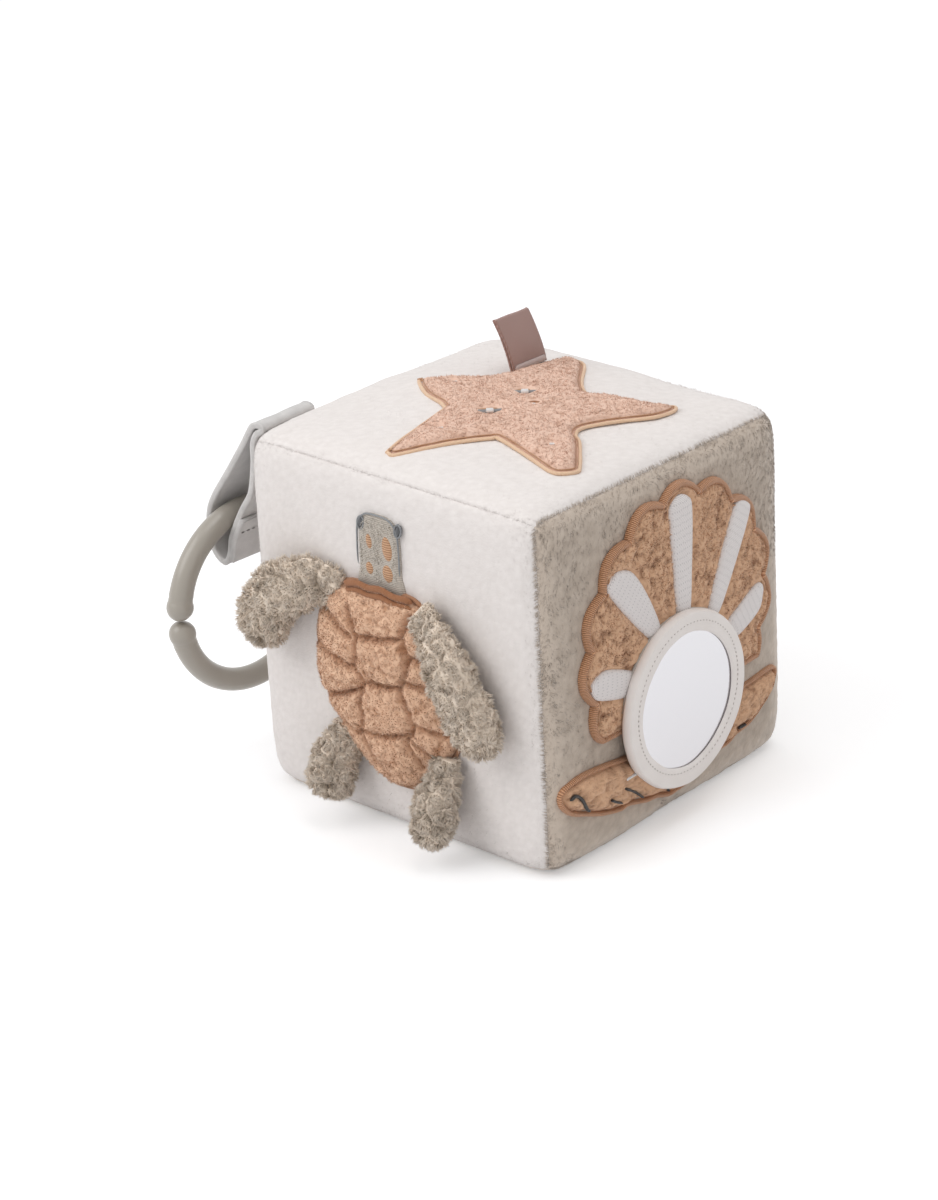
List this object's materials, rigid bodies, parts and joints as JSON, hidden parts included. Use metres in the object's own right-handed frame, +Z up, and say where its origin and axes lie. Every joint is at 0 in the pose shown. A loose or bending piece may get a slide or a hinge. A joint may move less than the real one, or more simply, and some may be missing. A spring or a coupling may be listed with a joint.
{
  "type": "soft fabric activity block",
  "caption": "Soft plush baby block with sewn sea figures, loose flippers, a mirror, a loop strap and a plastic link ring.",
  "frame": {"origin": "centre of the block's flat base, on the surface that it rests on", "axes": "+Z up; the turtle panel looks along -Y, the scallop and mirror panel along +X, the strap and link ring hang on the -X side"},
  "size_m": [0.1548, 0.1385, 0.1417],
  "materials": {
    "white_plush": "short off-white plush pile",
    "taupe_plush": "short taupe plush pile",
    "peach_boucle": "curly peach-brown boucle plush",
    "flipper_plush": "shaggy grey-beige plush",
    "satin_thread": "raised satin stitch in copper-brown thread",
    "white_thread": "flat white embroidery",
    "grey_thread": "grey embroidery thread",
    "head_cloth": "flat grey-beige embroidered cloth",
    "strap_jersey": "light grey jersey with top-stitched edges",
    "label_weave": "satin-woven label tape",
    "leatherette": "matt cream imitation leather",
    "mirror_foil": "silvered acrylic disc",
    "link_plastic": "satin warm grey plastic",
    "rattle_plastic": "plain white plastic",
    "foam": "open-cell cream foam"
  },
  "bodies": {
    "block": {"back_panel": "taupe_plush", "bottom_panel": "taupe_plush", "foam_block_lower": "foam", "foam_block_upper": "foam", "front_panel": "white_plush", "left_panel": "white_plush", "lower_valve": "peach_boucle", "lower_valve_border": "satin_thread", "mirror_disc": "mirror_foil", "mirror_pad": "white_plush", "mirror_ring": "leatherette", "rattle_cup_lower": "rattle_plastic", "rattle_cup_upper": "rattle_plastic", "right_panel": "taupe_plush", "scallop": "peach_boucle", "scallop_border": "satin_thread", "scallop_ray_1": "white_thread", "scallop_ray_2": "white_thread", "scallop_ray_3": "white_thread", "scallop_ray_4": "white_thread", "scallop_ray_5": "white_thread", "starfish": "peach_boucle", "starfish_border": "satin_thread", "starfish_eye_1": "grey_thread", "starfish_eye_2": "grey_thread", "starfish_nose": "satin_thread", "top_panel": "white_plush", "turtle_eye_1": "grey_thread", "turtle_eye_2": "grey_thread", "turtle_head": "head_cloth", "turtle_head_patch_1": "satin_thread", "turtle_head_patch_2": "satin_thread", "turtle_head_patch_3": "satin_thread", "turtle_head_patch_4": "satin_thread", "turtle_shell": "peach_boucle", "turtle_shell_border": "satin_thread", "turtle_shell_hem": "satin_thread"},
    "strap": {"hanging_strap": "strap_jersey"},
    "ring": {"link_ring": "link_plastic"},
    "label": {"woven_label": "label_weave"},
    "flipper_fl": {"flipper_front_left": "flipper_plush"},
    "flipper_fr": {"flipper_front_right": "flipper_plush"},
    "flipper_rl": {"flipper_rear_left": "flipper_plush"},
    "flipper_rr": {"flipper_rear_right": "flipper_plush"},
    "bead_1": {"rattle_bead_1": "link_plastic"},
    "bead_2": {"rattle_bead_2": "link_plastic"},
    "bead_3": {"rattle_bead_3": "link_plastic"}
  },
  "joints": [
    {"name": "strap_swing", "type": "hinge", "parent": "block", "child": "strap", "pos_m": [-0.05849, -0.0405, 0.11938], "axis": [0, 1, 0], "range_deg": [0, 150]},
    {"name": "ring_swing", "type": "hinge", "parent": "strap", "child": "ring", "pos_m": [-0.07899, -0.043, 0.0849], "axis": [0.0593, 0.9982, 0], "range_deg": [-8, 40]},
    {"name": "label_bend", "type": "hinge", "parent": "block", "child": "label", "pos_m": [-0.0195, 0.0305, 0.1233], "axis": [0, 0.9967, -0.0815], "range_deg": [-70, 50], "stiffness_Nm_per_rad": 0.002},
    {"name": "flipper_front_left_lift", "type": "hinge", "parent": "block", "child": "flipper_fl", "pos_m": [-0.01253, -0.06269, 0.07592], "axis": [0.3417, 0, 0.9398], "range_deg": [0, 80], "stiffness_Nm_per_rad": 0.015},
    {"name": "flipper_front_right_lift", "type": "hinge", "parent": "block", "child": "flipper_fr", "pos_m": [0.01194, -0.06578, 0.08506], "axis": [-0.6306, 0, -0.7761], "range_deg": [0, 80], "stiffness_Nm_per_rad": 0.015},
    {"name": "flipper_rear_left_lift", "type": "hinge", "parent": "block", "child": "flipper_rl", "pos_m": [-0.01699, -0.0626, 0.03854], "axis": [-0.9806, 0, 0.1961], "range_deg": [0, 80], "stiffness_Nm_per_rad": 0.015},
    {"name": "flipper_rear_right_lift", "type": "hinge", "parent": "block", "child": "flipper_rr", "pos_m": [0.02344, -0.06484, 0.04079], "axis": [-1, 0, 0], "range_deg": [0, 80], "stiffness_Nm_per_rad": 0.015},
    {"name": "bead_1_hop", "type": "slide", "parent": "block", "child": "bead_1", "axis": [0, 0, 1], "range_m": [0, 0.012]},
    {"name": "bead_2_hop", "type": "slide", "parent": "block", "child": "bead_2", "axis": [0, 0, 1], "range_m": [0, 0.012]},
    {"name": "bead_3_hop", "type": "slide", "parent": "block", "child": "bead_3", "axis": [0, 0, 1], "range_m": [0, 0.012]}
  ]
}
